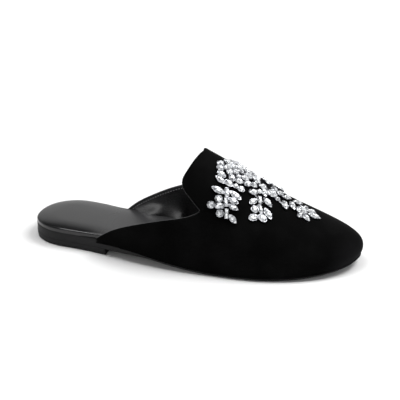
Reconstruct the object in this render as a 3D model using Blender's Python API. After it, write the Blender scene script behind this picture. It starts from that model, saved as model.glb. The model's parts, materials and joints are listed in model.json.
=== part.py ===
# Velvet mule for the right foot: a hollow vamp on a thin outsole, a low heel and a padded insole.
# Metres, +Z up, +X to the toe, the outer side of the foot at -Y, standing on the floor at z = 0.

import math

import bmesh
import bpy
import numpy as np
from mathutils import Matrix, Vector
from mathutils.bvhtree import BVHTree
from mathutils.geometry import delaunay_2d_cdt

# Driving sizes of the last, women's size about EU 38
LENGTH = 0.252
BALL_WIDTH = 0.084
SEAT_WIDTH = 0.058
INSTEP_HEIGHT = 0.0786
HEEL_HEIGHT = 0.0085
TOE_SPRING = 0.0052

# Thicknesses and fits
WALL = 0.0016
OUTSOLE_THICK = 0.0022
INSOLE_THICK = 0.0037
BINDING_RADIUS = 0.0008
GAP = 0.0003

# Ends of the plan outline: how square each arc is, and the lean of the heel's two sides
SEAT_ALONG = 0.134
SEAT_POWER = {"lateral": 2.24, "medial": 2.02}
SEAT_LEAN = {"lateral": math.radians(2.1), "medial": math.radians(7.9)}
TOE_ALONG = 0.668
TOE_CENTRE = 0.0995
TOE_POWER = {"lateral": 1.90, "medial": 2.22}

# Edge of the last in plan: along is a share of the length, the sides are shares of the ball width
EDGE_COLUMNS = ("along", "lateral", "medial")
EDGE_ROWS = (
    (SEAT_ALONG, -0.345, 0.345),
    (0.421, -0.488, 0.308),
    (TOE_ALONG, -0.516, 0.485),
)

# Crest of the vamp: along is a share of the length, height is a share of the instep height
CREST_COLUMNS = ("along", "height")
CREST_ROWS = (
    (0.476, 1.000),
    (0.579, 0.855),
    (0.683, 0.664),
    (0.802, 0.511),
    (0.921, 0.411),
)

# Topline: round goes from the sole edge (0) to the crest (1), the sides are shares of the length
TOPLINE_COLUMNS = ("round", "lateral", "medial")
TOPLINE_ROWS = (
    (0.00, 0.242, 0.256),
    (0.04, 0.280, 0.286),
    (0.10, 0.341, 0.335),
    (0.16, 0.400, 0.382),
    (0.23, 0.462, 0.437),
    (0.30, 0.519, 0.495),
    (0.37, 0.556, 0.547),
    (0.41, 0.569, 0.567),
    (0.44, 0.570, 0.572),
    (0.47, 0.555, 0.556),
    (0.53, 0.518, 0.518),
    (0.58, 0.509, 0.509),
    (0.65, 0.513, 0.513),
    (0.80, 0.524, 0.524),
    (1.00, 0.533, 0.533),
)

# Cross section of the vamp: roundness of its sides and crest, and the swell over the sole edge
SIDE_POWER_THROAT = 2.10
SIDE_POWER_BALL = 2.47
CREST_POWER = 2.12
SWELL_SIDE = 0.04
SWELL_TOE = 0.095
THROAT_ALONG = 0.436

# Profile of the bottom of the last: where it leaves the heel's level, lands on the floor and lifts at the toe
ARCH_START = 0.254
ARCH_END = 0.630
SPRING_START = 0.74

# The outsole is this much thicker under the heel seat, and thins along the waist
SEAT_EXTRA = 0.0038
THIN_START = 0.275
THIN_END = 0.430

# How far the vamp's skin stands out over the edge of the last
VAMP_PROUD = 0.0004

# Heel block and sole edge
BREAST_ALONG = 0.264
HEEL_TAPER = 0.0004
HEEL_INSET = 0.0005
OUTSOLE_INSET = 0.0006
OUTSOLE_FULL_START = 0.26
OUTSOLE_FULL_END = 0.40
EDGE_ROUND = 0.0006

# Insole: set inside the wall of the vamp, out to the edge behind it
INSOLE_NARROW_START = 0.180
INSOLE_NARROW_END = 0.232
INSOLE_CLEAR = 0.0005
INSOLE_INSET = WALL - VAMP_PROUD + INSOLE_CLEAR
INSOLE_FOOT = 0.0004

# Rolled top edge of the insole, from the side up: how far in from the side, how far under the top
INSOLE_ROLL_COLUMNS = ("inset", "drop")
INSOLE_ROLL_ROWS = (
    (0.0000, 0.0010),
    (0.0005, 0.0003),
    (0.0016, 0.0000),
)

# Crystal stones: size of each cut, its rise over the setting, its corners and how square its outline is
STONE_COLUMNS = ("length", "width", "rise", "corners", "power")
STONE_ROWS = {
    "big": (0.0080, 0.0080, 0.0034, 8, 2.0),
    "round": (0.0050, 0.0050, 0.0026, 6, 2.0),
    "small": (0.0036, 0.0036, 0.0022, 5, 2.0),
    "oval": (0.0062, 0.0046, 0.0026, 6, 2.0),
    "leaf": (0.0090, 0.0043, 0.0026, 6, 1.5),
    "petal": (0.0072, 0.0039, 0.0025, 6, 1.5),
    "bar": (0.0070, 0.0026, 0.0022, 4, 8.0),
}
CROWN_SHARE = 0.62
SETTING_THICK = 0.0007
WIRE_WIDTH = 0.0010
WIRE_SHARE = 0.90

# Sprays, in millimetres over the skin: along the stem, across it, turned from it in degrees.
# A twin stone is repeated on the other side of the stem.
SPRAY_COLUMNS = ("kind", "along", "across", "turn", "twin")
THROAT_ROWS = (
    ("oval", -8.8, 0.0, 0, False),
    ("round", -2.8, 0.0, 0, False),
    ("round", 2.8, 0.0, 0, False),
    ("oval", 9.4, 0.0, 0, False),
    ("oval", -12.6, -7.8, 62, False),
    ("round", -10.8, -12.9, 0, False),
    ("small", -8.0, -8.8, 0, False),
    ("round", -6.0, 4.6, 0, True),
    ("round", 0.2, 5.4, 0, True),
    ("oval", -3.2, 10.2, 90, True),
    ("oval", 0.6, 14.6, 63, True),
    ("oval", -7.2, 17.9, 3, True),
    ("petal", -5.6, 22.9, 9, True),
    ("oval", 0.9, 21.3, 6, True),
    ("small", 6.2, 19.9, 0, True),
    ("round", 10.6, 19.4, 0, True),
    ("oval", 6.2, 13.0, -38, True),
    ("small", 3.9, 8.6, 0, True),
    ("oval", 8.4, 5.4, -9, True),
)
CENTRE_ROWS = (
    ("oval", -17.0, 1.9, 30, False),
    ("leaf", -13.2, -4.5, -55, False),
    ("big", -8.6, 0.0, 0, False),
    ("round", -9.4, 8.2, 0, False),
    ("round", -3.8, 7.2, 0, False),
    ("small", -2.4, -2.2, 0, False),
    ("petal", 1.9, 6.9, 40, False),
    ("leaf", 4.4, -4.2, -55, False),
    ("leaf", 9.2, 0.3, -52, False),
    ("petal", 10.8, 8.6, 30, False),
    ("big", 16.9, 0.0, 0, False),
    ("leaf", 26.8, 1.4, 14, False),
    ("oval", -27.0, 7.6, -75, True),
    ("round", -23.0, 3.9, 0, True),
    ("small", 18.0, 6.6, 0, True),
    ("petal", 22.7, 5.2, 36, True),
)
REAR_BRANCH_ROWS = (
    ("bar", -7.6, 0.9, 0, False),
    ("bar", 0.2, 0.4, 0, False),
    ("bar", 9.0, 1.0, 0, False),
    ("leaf", -8.6, -5.5, 65, False),
    ("leaf", -5.8, 7.2, 53, False),
    ("round", -1.8, -4.9, 0, False),
    ("round", 2.9, -10.3, 0, False),
    ("oval", 3.6, -4.3, 90, False),
    ("petal", -1.1, 5.6, 62, False),
    ("petal", 4.0, 5.5, 61, False),
    ("round", 8.9, -3.6, 0, False),
    ("petal", 12.8, 5.5, 40, False),
)
FRONT_BRANCH_ROWS = (
    ("oval", -11.4, -4.5, 100, False),
    ("small", -13.6, 0.9, 0, False),
    ("bar", -4.7, -0.1, -7, False),
    ("petal", -2.2, -5.6, 129, False),
    ("leaf", -3.4, 5.9, 26, False),
    ("round", 4.8, -5.0, 0, False),
    ("bar", 4.1, -0.7, 8, False),
    ("leaf", 7.6, 4.6, 20, False),
    ("oval", 11.6, -6.5, 112, False),
    ("oval", 11.8, 0.2, 42, False),
)

# Where each spray is laid: along is a share of the length, reach a share of the half width on its side,
# heading turns the stem in degrees from sideways (0) to the toe (90)
PLACE_COLUMNS = ("rows", "side", "along", "reach", "heading")
SPRAY_PLACES = {
    "crystal_throat": (THROAT_ROWS, "lateral", 0.625, 0.00, 90),
    "crystal_centre": (CENTRE_ROWS, "lateral", 0.765, 0.11, 85),
    "crystal_rear_lateral": (REAR_BRANCH_ROWS, "lateral", 0.629, 0.67, 28),
    "crystal_rear_medial": (REAR_BRANCH_ROWS, "medial", 0.629, 0.85, 28),
    "crystal_front_lateral": (FRONT_BRANCH_ROWS, "lateral", 0.720, 0.45, 30),
    "crystal_front_medial": (FRONT_BRANCH_ROWS, "medial", 0.720, 0.66, 30),
}

# Colour and finish of each material
FINISH_COLUMNS = ("red", "green", "blue", "roughness", "metallic")
FINISH_ROWS = {
    "outsole_rubber": (0.020, 0.020, 0.020, 0.55, 0.0),
    "heel_block": (0.020, 0.020, 0.020, 0.50, 0.0),
    "insole_leather": (0.045, 0.045, 0.046, 0.42, 0.0),
    "velvet": (0.004, 0.004, 0.004, 0.90, 0.0),
    "binding": (0.030, 0.030, 0.030, 0.60, 0.0),
    "crystal": (0.750, 0.760, 0.780, 0.12, 0.6),
}

# Mesh steps
SIDE_STEPS = 16
ARC_STEPS = 9
ACROSS_STEPS = 2
VAMP_STEPS = 8
TOE_RIBS = 18
ROUND_BANDS = ((0.00, 0.34, 7), (0.34, 0.62, 13), (0.62, 1.00, 7))
BINDING_START = 0.014
SIDES = {"lateral": -1, "medial": 1}
SKIN_STEP = 0.001
NUDGE = GAP / 3
MERGE_DISTANCE = GAP / 30
KEY_DIGITS = 7
MILLIMETRE = 0.001
SHARP_ANGLE = math.radians(40)
BINDING_ROUNDING = 1


def clear_scene():
    for obj in list(bpy.data.objects):
        bpy.data.objects.remove(obj, do_unlink=True)


def column(rows, columns, name):
    return np.array([row[columns.index(name)] for row in rows])


def named(row, columns):
    return dict(zip(columns, row))


def spline(places, values, start_slope=None, end_slope=None):
    """Smooth curve through the rows of a table, straight past its ends."""
    step = np.diff(places)
    rise = np.diff(values) / step
    count = len(places)
    matrix = np.zeros((count, count))
    right = np.zeros(count)
    for i in range(1, count - 1):
        matrix[i, i - 1 : i + 2] = step[i], 2 * (step[i - 1] + step[i]), step[i - 1]
        right[i] = 3 * (step[i] * rise[i - 1] + step[i - 1] * rise[i])
    matrix[0, :2] = (2, 1) if start_slope is None else (1, 0)
    right[0] = 3 * rise[0] if start_slope is None else start_slope
    matrix[-1, -2:] = (1, 2) if end_slope is None else (0, 1)
    right[-1] = 3 * rise[-1] if end_slope is None else end_slope
    slope = np.linalg.solve(matrix, right)

    def curve(place):
        if place <= places[0]:
            return values[0] + slope[0] * (place - places[0])
        if place >= places[-1]:
            return values[-1] + slope[-1] * (place - places[-1])
        i = int(np.searchsorted(places, place)) - 1
        t = (place - places[i]) / step[i]
        near = values[i] * (1 + 2 * t) + slope[i] * step[i] * t
        far = values[i + 1] * (3 - 2 * t) - slope[i + 1] * step[i] * (1 - t)
        return near * (1 - t) ** 2 + far * t * t

    return curve


def smooth_step(value, start, end):
    t = min(max((value - start) / (end - start), 0.0), 1.0)
    return t * t * (3 - 2 * t)


def quarter_arc(share, power):
    """Height of a quarter superellipse at a share of its length."""
    return max(0.0, 1 - abs(share) ** power) ** (1 / power)


SEAT_X = SEAT_ALONG * LENGTH
TOE_X = TOE_ALONG * LENGTH
TOE_LENGTH = LENGTH - TOE_X
TOE_Y = TOE_CENTRE * BALL_WIDTH
BREAST_X = BREAST_ALONG * LENGTH

EDGE_X = column(EDGE_ROWS, EDGE_COLUMNS, "along") * LENGTH
EDGES = {
    side: spline(
        EDGE_X,
        column(EDGE_ROWS, EDGE_COLUMNS, side) * BALL_WIDTH,
        start_slope=-math.tan(SEAT_LEAN[side]),
        end_slope=0.0,
    )
    for side in SIDES
}
TOE_REACH = {side: abs(EDGES[side](TOE_X) - TOE_Y) for side in SIDES}

CREST = spline(
    column(CREST_ROWS, CREST_COLUMNS, "along") * LENGTH,
    column(CREST_ROWS, CREST_COLUMNS, "height") * INSTEP_HEIGHT,
)
TOPLINE_ROUND = column(TOPLINE_ROWS, TOPLINE_COLUMNS, "round")
TOPLINE = {
    side: spline(TOPLINE_ROUND, column(TOPLINE_ROWS, TOPLINE_COLUMNS, side) * LENGTH) for side in SIDES
}


def edge_y(x, side):
    """Edge of the last in plan, on one side, at any place along the shoe."""
    sign = SIDES[side]
    if x < SEAT_X:
        lean = math.tan(SEAT_LEAN[side]) * (SEAT_X - x)
        return (sign * SEAT_WIDTH / 2 + lean) * quarter_arc((SEAT_X - x) / SEAT_X, SEAT_POWER[side])
    if x > TOE_X:
        return TOE_Y + sign * TOE_REACH[side] * quarter_arc((x - TOE_X) / TOE_LENGTH, TOE_POWER[side])
    return EDGES[side](x)


def deck_z(x):
    """Top of the outsole: seat, arch, flat tread and toe spring."""
    lift = HEEL_HEIGHT * (1 - smooth_step(x / LENGTH, ARCH_START, ARCH_END))
    spring = max(0.0, (min(x, LENGTH) / LENGTH - SPRING_START) / (1 - SPRING_START))
    return OUTSOLE_THICK + lift + TOE_SPRING * spring**2


def sole_z(x):
    """Underside of the outsole."""
    extra = SEAT_EXTRA * (1 - smooth_step(x / LENGTH, THIN_START, THIN_END))
    return deck_z(x) - OUTSOLE_THICK - extra


def feather_z(x):
    """Where the vamp and the insole are set down on the outsole."""
    return deck_z(x) + GAP


def power_cos(angle, power):
    return max(0.0, math.cos(angle)) ** (2 / power)


def power_sin(angle, power):
    return max(0.0, math.sin(angle)) ** (2 / power)


def vamp_point(x, side, around):
    """Outside of the vamp behind the ball, on the section at x."""
    angle = around * math.pi / 2
    ball_share = min(max((x / LENGTH - THROAT_ALONG) / (TOE_ALONG - THROAT_ALONG), 0.0), 1.0)
    power = SIDE_POWER_THROAT + (SIDE_POWER_BALL - SIDE_POWER_THROAT) * ball_share
    reach = power_cos(angle, power) * (1 + SWELL_SIDE * math.sin(2 * angle))
    middle = TOE_Y * min(x / TOE_X, 1.0)
    y = middle + (edge_y(x, side) + SIDES[side] * VAMP_PROUD - middle) * reach
    return Vector((x, y, feather_z(x) + CREST(x) * power_sin(angle, CREST_POWER)))


def toe_point(turn, around):
    """Outside of the vamp over the toe, on a rib that leaves the crest at a turn from -1 to 1."""
    angle = around * math.pi / 2
    side = "lateral" if turn < 0 else "medial"
    heading = abs(turn) * math.pi / 2
    forward = (TOE_LENGTH + VAMP_PROUD) * power_cos(heading, TOE_POWER[side])
    sideways = SIDES[side] * (TOE_REACH[side] + VAMP_PROUD) * power_sin(heading, TOE_POWER[side])
    front_share = math.cos(heading) ** 2
    swell = SWELL_SIDE + (SWELL_TOE - SWELL_SIDE) * front_share
    reach = power_cos(angle, SIDE_POWER_BALL) * (1 + swell * math.sin(2 * angle))
    x = TOE_X + forward * reach
    z = feather_z(x) + CREST(min(x, LENGTH)) * power_sin(angle, CREST_POWER)
    return Vector((x, TOE_Y + sideways * reach, z))


def material(name):
    finish = named(FINISH_ROWS[name], FINISH_COLUMNS)
    mat = bpy.data.materials.new(name)
    mat.use_nodes = True
    shader = mat.node_tree.nodes["Principled BSDF"]
    shader.inputs["Base Color"].default_value = (finish["red"], finish["green"], finish["blue"], 1.0)
    shader.inputs["Roughness"].default_value = finish["roughness"]
    shader.inputs["Metallic"].default_value = finish["metallic"]
    return mat


def add_object(name, mesh, mat, parent):
    obj = bpy.data.objects.new(name, mesh)
    bpy.context.scene.collection.objects.link(obj)
    obj.data.materials.append(mat)
    obj.parent = parent
    return obj


def finish_mesh(name, bm):
    bmesh.ops.recalc_face_normals(bm, faces=bm.faces)
    mesh = bpy.data.meshes.new(name)
    bm.to_mesh(mesh)
    bm.free()
    mesh.shade_smooth()
    mesh.set_sharp_from_angle(angle=SHARP_ANGLE)
    return mesh


def flat_key(point):
    return round(point.x, KEY_DIGITS), round(point.y, KEY_DIGITS)


def plan_stations(end_x):
    """Places along the shoe, close together round the heel and the toe."""
    stations = [SEAT_X * (1 - math.cos(i * math.pi / 2 / ARC_STEPS)) for i in range(ARC_STEPS)]
    side_end = min(end_x, TOE_X)
    side_count = max(2, round(SIDE_STEPS * (side_end - SEAT_X) / (TOE_X - SEAT_X)))
    stations += [SEAT_X + (side_end - SEAT_X) * i / side_count for i in range(side_count + 1)]
    if end_x > TOE_X:
        quarter = math.pi / 2 / ARC_STEPS
        stations += [TOE_X + TOE_LENGTH * math.sin(i * quarter) for i in range(1, ARC_STEPS + 1)]
    return stations


def plan_ring(stations, inset_at):
    """Outline of the last moved inwards: one point on each side at every station."""
    lateral = [Vector((x, edge_y(x, "lateral"))) for x in stations]
    medial = [Vector((x, edge_y(x, "medial"))) for x in stations]
    closed_toe = (medial[-1] - lateral[-1]).length < GAP
    loop = lateral + medial[-2 if closed_toe else -1 : 0 : -1]
    moved = {}
    for i, point in enumerate(loop):
        before = loop[i - 1]
        after = loop[(i + 1) % len(loop)]
        if not closed_toe and point is lateral[-1]:
            after = point + (point - before)
        if not closed_toe and point is medial[-1]:
            before = point + (point - after)
        tangent = (after - before).normalized()
        inward = Vector((-tangent.y, tangent.x))
        moved[flat_key(point)] = point + inward * inset_at(point.x)

    def shifted(point):
        return moved[flat_key(point)]

    medial[0] = lateral[0]
    if closed_toe:
        medial[-1] = lateral[-1]
    return [shifted(p) for p in lateral], [shifted(p) for p in medial]


def stacked_solid(name, stations, rings):
    """Closed solid through rings, each an inset and a height over the plan, from the bottom up."""
    bm = bmesh.new()
    levels = []
    for inset_at, height_at in rings:
        lateral, medial = plan_ring(stations, inset_at)
        rows = []
        for near, far in zip(lateral, medial):
            count = 0 if near == far else ACROSS_STEPS
            rows.append([near.lerp(far, k / ACROSS_STEPS) for k in range(count + 1)])
        levels.append((rows, height_at))

    def vertex(point, height_at):
        return bm.verts.new((point.x, point.y, height_at(point.x)))

    def face(corners):
        unique = list(dict.fromkeys(corners))
        if len(unique) > 2:
            bm.faces.new(unique)

    edges = []
    caps = []
    for index, (rows, height_at) in enumerate(levels):
        is_cap = index in (0, len(levels) - 1)
        verts = []
        for i, row in enumerate(rows):
            whole = is_cap or (i == len(rows) - 1 and len(row) > 1)
            kept = row if whole else [row[0], row[-1]] if len(row) > 1 else row
            verts.append([vertex(p, height_at) for p in kept])
        if is_cap:
            caps.append(verts)
        open_end = verts[-1] if len(verts[-1]) > 1 else []
        edges.append([v[0] for v in verts] + open_end[1:-1] + [v[-1] for v in reversed(verts)])
    for verts in caps:
        for left, right in zip(verts, verts[1:]):
            for k in range(ACROSS_STEPS):
                pick = [min(k, len(left) - 1), min(k + 1, len(left) - 1)]
                other = [min(k + 1, len(right) - 1), min(k, len(right) - 1)]
                face([left[pick[0]], left[pick[1]], right[other[0]], right[other[1]]])
    for low, high in zip(edges, edges[1:]):
        for k in range(len(low)):
            n = (k + 1) % len(low)
            face([low[k], low[n], high[n], high[k]])
    bmesh.ops.remove_doubles(bm, verts=bm.verts, dist=MERGE_DISTANCE)
    return finish_mesh(name, bm)


def even(inset):
    return lambda x: inset


def above(base, rise):
    return lambda x: base(x) + rise


def build_outsole(parent):
    def inset(x):
        return OUTSOLE_INSET * (1 - smooth_step(x / LENGTH, OUTSOLE_FULL_START, OUTSOLE_FULL_END))

    rings = [
        (lambda x: inset(x) + EDGE_ROUND, sole_z),
        (inset, above(sole_z, EDGE_ROUND)),
        (inset, deck_z),
    ]
    mesh = stacked_solid("outsole", plan_stations(LENGTH), rings)
    return add_object("outsole", mesh, material("outsole_rubber"), parent)


def build_heel(parent):
    def seat(x):
        return sole_z(x) - GAP

    rings = [
        (even(HEEL_INSET + HEEL_TAPER + EDGE_ROUND / 2), even(0.0)),
        (even(HEEL_INSET + HEEL_TAPER), even(EDGE_ROUND / 2)),
        (even(HEEL_INSET), seat),
    ]
    mesh = stacked_solid("heel", plan_stations(BREAST_X), rings)
    return add_object("heel", mesh, material("heel_block"), parent)


def build_insole(parent):
    def inset(x):
        return INSOLE_INSET * smooth_step(x / LENGTH, INSOLE_NARROW_START, INSOLE_NARROW_END)

    def further(extra):
        return lambda x: inset(x) + extra

    top = above(feather_z, INSOLE_THICK)
    rings = [(further(INSOLE_FOOT), feather_z), (inset, above(feather_z, INSOLE_FOOT))]
    for row in INSOLE_ROLL_ROWS:
        roll = named(row, INSOLE_ROLL_COLUMNS)
        rings.append((further(roll["inset"]), above(top, -roll["drop"])))
    mesh = stacked_solid("insole", plan_stations(LENGTH), rings)
    return add_object("insole", mesh, material("insole_leather"), parent)


def round_rows():
    rows = [start + (end - start) * i / count for start, end, count in ROUND_BANDS for i in range(count)]
    return rows + [1.0]


def build_upper(parent):
    """Vamp as an outer skin given its wall inwards: open at the topline and underneath."""
    bm = bmesh.new()
    rows = round_rows()
    pole = bm.verts.new(toe_point(0.0, 1.0))

    def skin_line(points):
        return [bm.verts.new(point) for point in points]

    strips = {}
    for side in SIDES:
        lines = []
        for around in rows:
            start = TOPLINE[side](around)
            places = [start + (TOE_X - start) * k / VAMP_STEPS for k in range(VAMP_STEPS + 1)]
            if around < 1.0:
                lines.append(skin_line(vamp_point(x, side, around) for x in places))
            elif "lateral" in strips:
                lines.append(strips["lateral"][-1])
            else:
                lines.append(skin_line(vamp_point(x, side, around) for x in places[:-1]) + [pole])
        strips[side] = lines
        for low, high in zip(lines, lines[1:]):
            for k in range(VAMP_STEPS):
                bm.faces.new((low[k], low[k + 1], high[k + 1], high[k]))

    ribs = [[line[-1] for line in strips["lateral"]]]
    for i in range(1, TOE_RIBS):
        turn = -1 + 2 * i / TOE_RIBS
        ribs.append(skin_line(toe_point(turn, around) for around in rows[:-1]) + [pole])
    ribs.append([line[-1] for line in strips["medial"]])
    for left, right in zip(ribs, ribs[1:]):
        for k in range(len(rows) - 1):
            bm.faces.new(dict.fromkeys((left[k], right[k], right[k + 1], left[k + 1])))

    mesh = finish_mesh("upper", bm)
    obj = add_object("upper", mesh, material("velvet"), parent)
    solid = obj.modifiers.new("wall", "SOLIDIFY")
    solid.thickness = WALL
    solid.offset = -1.0
    solid.use_even_offset = True
    solid.use_rim = True
    return obj


def topline_frame(side, around):
    """Outer edge of the topline, with the way out of the wall and the way along the skin."""
    x = TOPLINE[side](around)
    edge = vamp_point(x, side, around)
    back = (edge - vamp_point(x + NUDGE, side, around)).normalized()
    step = NUDGE / INSTEP_HEIGHT
    low = max(around - step, 0.0)
    high = min(around + step, 1.0)
    along = vamp_point(TOPLINE[side](high), side, high) - vamp_point(TOPLINE[side](low), side, low)
    along.normalize()
    outward = (back - along * back.dot(along)).normalized()
    skin = along.cross(outward) * SIDES[side]
    return edge, outward, skin.normalized()


def build_binding(parent):
    """Narrow rounded binding that follows the topline on the edge of the wall."""
    rows = [BINDING_START] + [row for row in round_rows() if row > BINDING_START]
    path = [("lateral", row) for row in rows] + [("medial", row) for row in reversed(rows[:-1])]
    curve = bpy.data.curves.new("topline_binding", "CURVE")
    curve.dimensions = "3D"
    curve.bevel_depth = BINDING_RADIUS
    curve.bevel_resolution = BINDING_ROUNDING
    curve.use_fill_caps = True
    line = curve.splines.new("POLY")
    line.points.add(len(path) - 1)
    for point, (side, around) in zip(line.points, path):
        edge, outward, skin = topline_frame(side, around)
        centre = edge + outward * (BINDING_RADIUS + GAP) - skin * WALL / 2
        point.co = (*centre, 1.0)
    return add_object("topline_binding", curve, material("binding"), parent)


def skin_tree(upper):
    mesh = upper.data
    return BVHTree.FromPolygons([v.co for v in mesh.vertices], [p.vertices for p in mesh.polygons])


def walk_skin(tree, start, heading, distance):
    """Go a distance over the skin, turning the heading with it."""
    count = max(1, round(abs(distance) / SKIN_STEP))
    place = start.copy()
    way = heading.copy()
    for _ in range(count):
        place, normal, _, _ = tree.find_nearest(place + way * distance / count)
        way = (way - normal * way.dot(normal)).normalized()
    return place, way


def skin_height_map(tree, spray):
    """Function from a spray's flat drawing, with a height, to the skin of the vamp."""
    side = spray["side"]
    x = spray["along"] * LENGTH
    middle = TOE_Y * min(x / TOE_X, 1.0)
    y = middle + (edge_y(x, side) - middle) * spray["reach"]
    root, normal, _, _ = tree.ray_cast(Vector((x, y, INSTEP_HEIGHT + LENGTH)), Vector((0, 0, -1)))
    sideways = Vector((0, SIDES[side], 0))
    forward = Vector((1, 0, 0))
    sideways = (sideways - normal * sideways.dot(normal)).normalized()
    forward = (forward - normal * forward.dot(normal) - sideways * forward.dot(sideways)).normalized()
    turn = math.radians(spray["heading"])
    stem = sideways * math.cos(turn) + forward * math.sin(turn)
    cross = forward * math.cos(turn) - sideways * math.sin(turn)

    def place(flat, height):
        on_stem, way = walk_skin(tree, root, stem, flat[0])
        local = tree.find_nearest(on_stem)[1]
        across = way.cross(local).normalized()
        across *= 1 if across.dot(cross) > 0 else -1
        point, _ = walk_skin(tree, on_stem, across, flat[1])
        ahead, _ = walk_skin(tree, point, way, SKIN_STEP)
        behind, _ = walk_skin(tree, point, way, -SKIN_STEP)
        left, _ = walk_skin(tree, point, across, SKIN_STEP)
        right, _ = walk_skin(tree, point, across, -SKIN_STEP)
        up = (ahead - behind).cross(left - right).normalized()
        up *= 1 if up.dot(tree.find_nearest(point)[1]) > 0 else -1
        return point + up * height

    return place


def stone_outline(stone, share):
    """Outline of a stone in the flat drawing, at a share of its size."""
    cut = stone["cut"]
    corners = cut["corners"]
    first = math.pi / corners if stone["kind"] == "bar" else 0.0
    turn = Matrix.Rotation(stone["turn"], 2)
    points = []
    for i in range(corners):
        angle = first + 2 * math.pi * i / corners
        u = math.copysign(abs(math.cos(angle)) ** (2 / cut["power"]), math.cos(angle)) * cut["length"] / 2
        v = math.copysign(abs(math.sin(angle)) ** (2 / cut["power"]), math.sin(angle)) * cut["width"] / 2
        points.append(stone["centre"] + turn @ Vector((u, v)) * share)
    return points


def outline_reach(outline, centre, way):
    """Distance from a stone's centre to its outline in one direction."""
    for first, second in zip(outline, outline[1:] + outline[:1]):
        start = first - centre
        edge = second - first
        crossing = way.cross(edge)
        if crossing > 0.0:
            distance = start.cross(edge) / crossing
            share = start.cross(way) / crossing
            if distance > 0.0 and 0.0 <= share <= 1.0:
                return distance
    return 0.0


def setting_wires(stones):
    """Short wires that join each stone to its nearest neighbour, until all are joined."""
    outlines = [stone_outline(stone, 1.0) for stone in stones]

    def wire(i, k):
        near = stones[i]["centre"]
        far = stones[k]["centre"]
        way = (far - near).normalized()
        start = near + way * outline_reach(outlines[i], near, way) * WIRE_SHARE
        end = far - way * outline_reach(outlines[k], far, -way) * WIRE_SHARE
        return (end - start).dot(way), start, end

    joined = [0]
    wires = []
    while len(joined) < len(stones):
        options = [(wire(i, k), k) for i in joined for k in range(len(stones)) if k not in joined]
        (_, start, end), nearest = min(options, key=lambda option: option[0][0])
        joined.append(nearest)
        beside = (end - start).normalized().orthogonal() * WIRE_WIDTH / 2
        wires.append([start - beside, end - beside, end + beside, start + beside])
    return wires


def spray_stones(rows):
    stones = []
    for values in rows:
        row = named(values, SPRAY_COLUMNS)
        for hand in (1, -1) if row["twin"] else (1,):
            stones.append(
                {
                    "kind": row["kind"],
                    "cut": named(STONE_ROWS[row["kind"]], STONE_COLUMNS),
                    "centre": Vector((row["along"], hand * row["across"])) * MILLIMETRE,
                    "turn": hand * math.radians(row["turn"]),
                }
            )
    return stones


def triangulate(polygons):
    """Triangles that the polygons of the drawing cover, with the polygon corners at each point."""
    points = [point for polygon in polygons for point in polygon]
    faces = []
    for polygon in polygons:
        start = sum(len(face) for face in faces)
        faces.append(list(range(start, start + len(polygon))))
    flat, _, triangles, sources, _, cover = delaunay_2d_cdt(points, [], faces, 0, MERGE_DISTANCE, True)
    kept = [tuple(t) for t, owners in zip(triangles, cover) if owners]
    return flat, kept, sources


def build_spray(name, tree, mat, parent):
    """Stones on one thin setting that lies on the vamp."""
    spray = named(SPRAY_PLACES[name], PLACE_COLUMNS)
    place = skin_height_map(tree, spray)
    stones = spray_stones(spray["rows"])
    base = [stone_outline(stone, 1.0) for stone in stones] + setting_wires(stones)
    crowns = [stone_outline(stone, CROWN_SHARE) for stone in stones]
    rises = [stone["cut"]["rise"] for stone in stones for _ in range(stone["cut"]["corners"])]
    first_crown = sum(len(polygon) for polygon in base)

    bm = bmesh.new()
    flat, triangles, sources = triangulate(base + crowns)
    top = {}
    for corner in sorted({corner for triangle in triangles for corner in triangle}):
        crown = [source - first_crown for source in sources[corner] if source >= first_crown]
        height = GAP + SETTING_THICK + (rises[crown[0]] if crown else 0.0)
        top[flat_key(flat[corner])] = bm.verts.new(place(flat[corner], height))
    for triangle in triangles:
        bm.faces.new([top[flat_key(flat[corner])] for corner in triangle])

    flat, triangles, _ = triangulate(base)
    low = {}
    for corner in sorted({corner for triangle in triangles for corner in triangle}):
        low[corner] = bm.verts.new(place(flat[corner], GAP))
    rim = set()
    for triangle in triangles:
        bm.faces.new([low[corner] for corner in reversed(triangle)])
        for side in zip(triangle, triangle[1:] + triangle[:1]):
            rim ^= {tuple(sorted(side))}
    for a, b in sorted(rim):
        bm.faces.new((low[a], low[b], top[flat_key(flat[b])], top[flat_key(flat[a])]))
    return add_object(name, finish_mesh(name, bm), mat, parent)


def centre_on_floor(parent, pieces):
    """Move the shoe so that the middle of its box stands over the origin."""
    bpy.context.view_layer.update()
    graph = bpy.context.evaluated_depsgraph_get()
    corners = []
    for piece in pieces:
        mesh = piece.evaluated_get(graph).to_mesh()
        corners += [piece.matrix_world @ v.co for v in mesh.vertices]
    box = np.array(corners)
    middle = (box.min(axis=0) + box.max(axis=0)) / 2
    parent.location = (-middle[0], -middle[1], 0.0)


def main():
    clear_scene()
    shoe = bpy.data.objects.new("shoe", None)
    bpy.context.scene.collection.objects.link(shoe)
    upper = build_upper(shoe)
    pieces = [build_outsole(shoe), build_heel(shoe), build_insole(shoe), upper, build_binding(shoe)]
    tree = skin_tree(upper)
    crystal = material("crystal")
    pieces += [build_spray(name, tree, crystal, shoe) for name in SPRAY_PLACES]
    centre_on_floor(shoe, pieces)


main()
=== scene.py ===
import json
import math

import bmesh
import bpy
from mathutils import Matrix, Vector
from mathutils.bvhtree import BVHTree

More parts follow.
